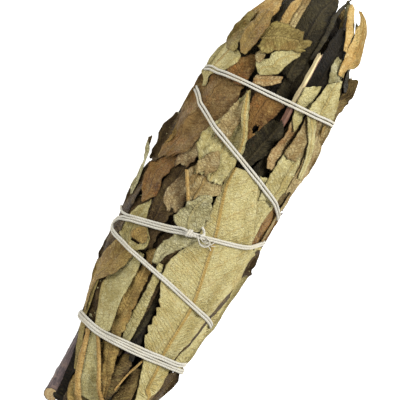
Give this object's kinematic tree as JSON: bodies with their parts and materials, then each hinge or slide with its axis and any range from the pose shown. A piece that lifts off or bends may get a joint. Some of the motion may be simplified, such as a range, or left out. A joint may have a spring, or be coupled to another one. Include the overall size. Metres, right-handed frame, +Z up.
{
  "type": "smudge stick",
  "caption": "Bundle of dried yerba santa leaves and woody stems laid lengthwise and wound with a doubled cotton string, lying on its side.",
  "frame": {"origin": "centre of the bounding box's bottom face, on the surface that the bundle lies on", "axes": "+X along the bundle from the cut stems to the leaf tips, +Y across it, +Z up"},
  "size_m": [0.1284, 0.0409, 0.0389],
  "materials": {
    "pale_leaf": "matt felted underside of a dried leaf",
    "tan_leaf": "dry yellow-tan leaf, slightly waxy",
    "brown_leaf": "resinous brown upper side of a dried leaf, satin",
    "olive_leaf": "dark olive dried leaf, satin",
    "bark": "thin purple-brown bark with pale cut ends",
    "string": "off-white twisted cotton"
  },
  "bodies": {
    "root": {"inner_leaves": "olive_leaf", "leaf_01_olive": "olive_leaf", "leaf_02_brown": "brown_leaf", "leaf_03_pale": "pale_leaf", "leaf_04_brown": "brown_leaf", "leaf_05_olive": "olive_leaf", "leaf_06_brown": "brown_leaf", "leaf_07_olive": "olive_leaf", "leaf_08_pale": "pale_leaf", "leaf_09_brown": "brown_leaf", "leaf_10_olive": "olive_leaf", "leaf_11_olive": "olive_leaf", "leaf_12_pale": "pale_leaf", "leaf_13_brown": "brown_leaf", "leaf_14_tan": "tan_leaf", "leaf_15_pale": "pale_leaf", "leaf_16_brown": "brown_leaf", "leaf_17_pale": "pale_leaf", "leaf_18_brown": "brown_leaf", "leaf_19_pale": "pale_leaf", "leaf_20_pale": "pale_leaf", "leaf_21_brown": "brown_leaf", "leaf_22_pale": "pale_leaf", "leaf_23_pale": "pale_leaf", "leaf_24_olive": "olive_leaf", "leaf_25_brown": "brown_leaf", "leaf_26_brown": "brown_leaf", "leaf_27_pale": "pale_leaf", "leaf_28_brown": "brown_leaf", "leaf_29_brown": "brown_leaf", "leaf_30_olive": "olive_leaf", "leaf_31_pale": "pale_leaf", "leaf_32_brown": "brown_leaf", "leaf_33_olive": "olive_leaf", "leaf_34_brown": "brown_leaf", "leaf_35_pale": "pale_leaf", "leaf_36_pale": "pale_leaf", "leaf_37_tan": "tan_leaf", "leaf_38_tan": "tan_leaf", "leaf_39_pale": "pale_leaf", "leaf_40_pale": "pale_leaf", "leaf_41_pale": "pale_leaf", "leaf_42_pale": "pale_leaf", "leaf_43_pale": "pale_leaf", "leaf_44_tan": "tan_leaf", "leaf_45_pale": "pale_leaf", "leaf_46_olive": "olive_leaf", "leaf_47_brown": "brown_leaf", "leaf_resting": "brown_leaf", "leaf_resting_tip": "brown_leaf", "stem_1": "bark", "stem_2": "bark", "stem_3": "bark", "stem_4": "bark", "stem_5": "bark", "stem_6": "bark", "stem_7": "bark", "stem_8": "bark", "string": "string", "twig": "bark"}
  },
  "joints": []
}
